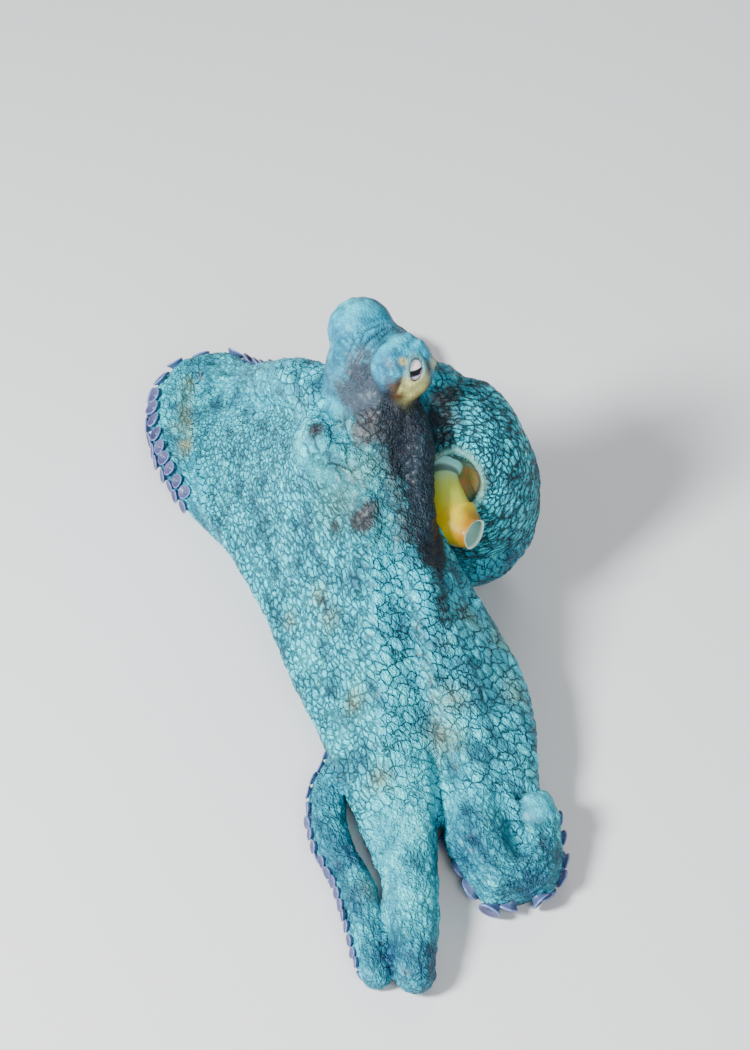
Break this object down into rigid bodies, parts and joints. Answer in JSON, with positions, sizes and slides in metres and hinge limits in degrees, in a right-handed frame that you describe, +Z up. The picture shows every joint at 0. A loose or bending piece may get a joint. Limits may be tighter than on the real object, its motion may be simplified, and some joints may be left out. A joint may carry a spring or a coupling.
{
  "type": "octopus",
  "caption": "Still life-size common octopus, raised on its spread arms and web, head and eyes lifted, mantle hanging behind, funnel out.",
  "frame": {"origin": "middle of the whole animal's box, on the floor it rests on", "axes": "+Z up; -Y towards the two front arms, +Y towards the curled back arms, +X towards the mantle"},
  "size_m": [0.1842, 0.4156, 0.1343],
  "materials": {
    "skin": "wet, wrinkled and cobbled skin, pale blue-grey with a dark net",
    "funnel_skin": "smooth wet skin, yellow going to orange",
    "eye": "glossy eyeball with a dark level pupil",
    "sucker": "matt grey-lilac suckers with a pale rim"
  },
  "bodies": {
    "root": {"web": "skin", "head": "skin", "mantle": "skin", "funnel": "funnel_skin", "eye_left": "eye", "eye_right": "eye", "arm_r1_bend": "skin", "arm_r1_middle": "skin", "arm_r1_tip": "skin", "arm_r2_middle": "skin", "arm_r2_tip": "skin", "arm_r3_middle": "skin", "arm_r3_tip": "skin", "arm_r4_middle": "skin", "arm_r4_tip": "skin", "arm_l1_middle": "skin", "arm_l1_tip": "skin", "arm_l2_end": "skin", "arm_l3_end": "skin", "arm_l4_middle": "skin", "arm_l4_tip": "skin"}
  },
  "joints": []
}
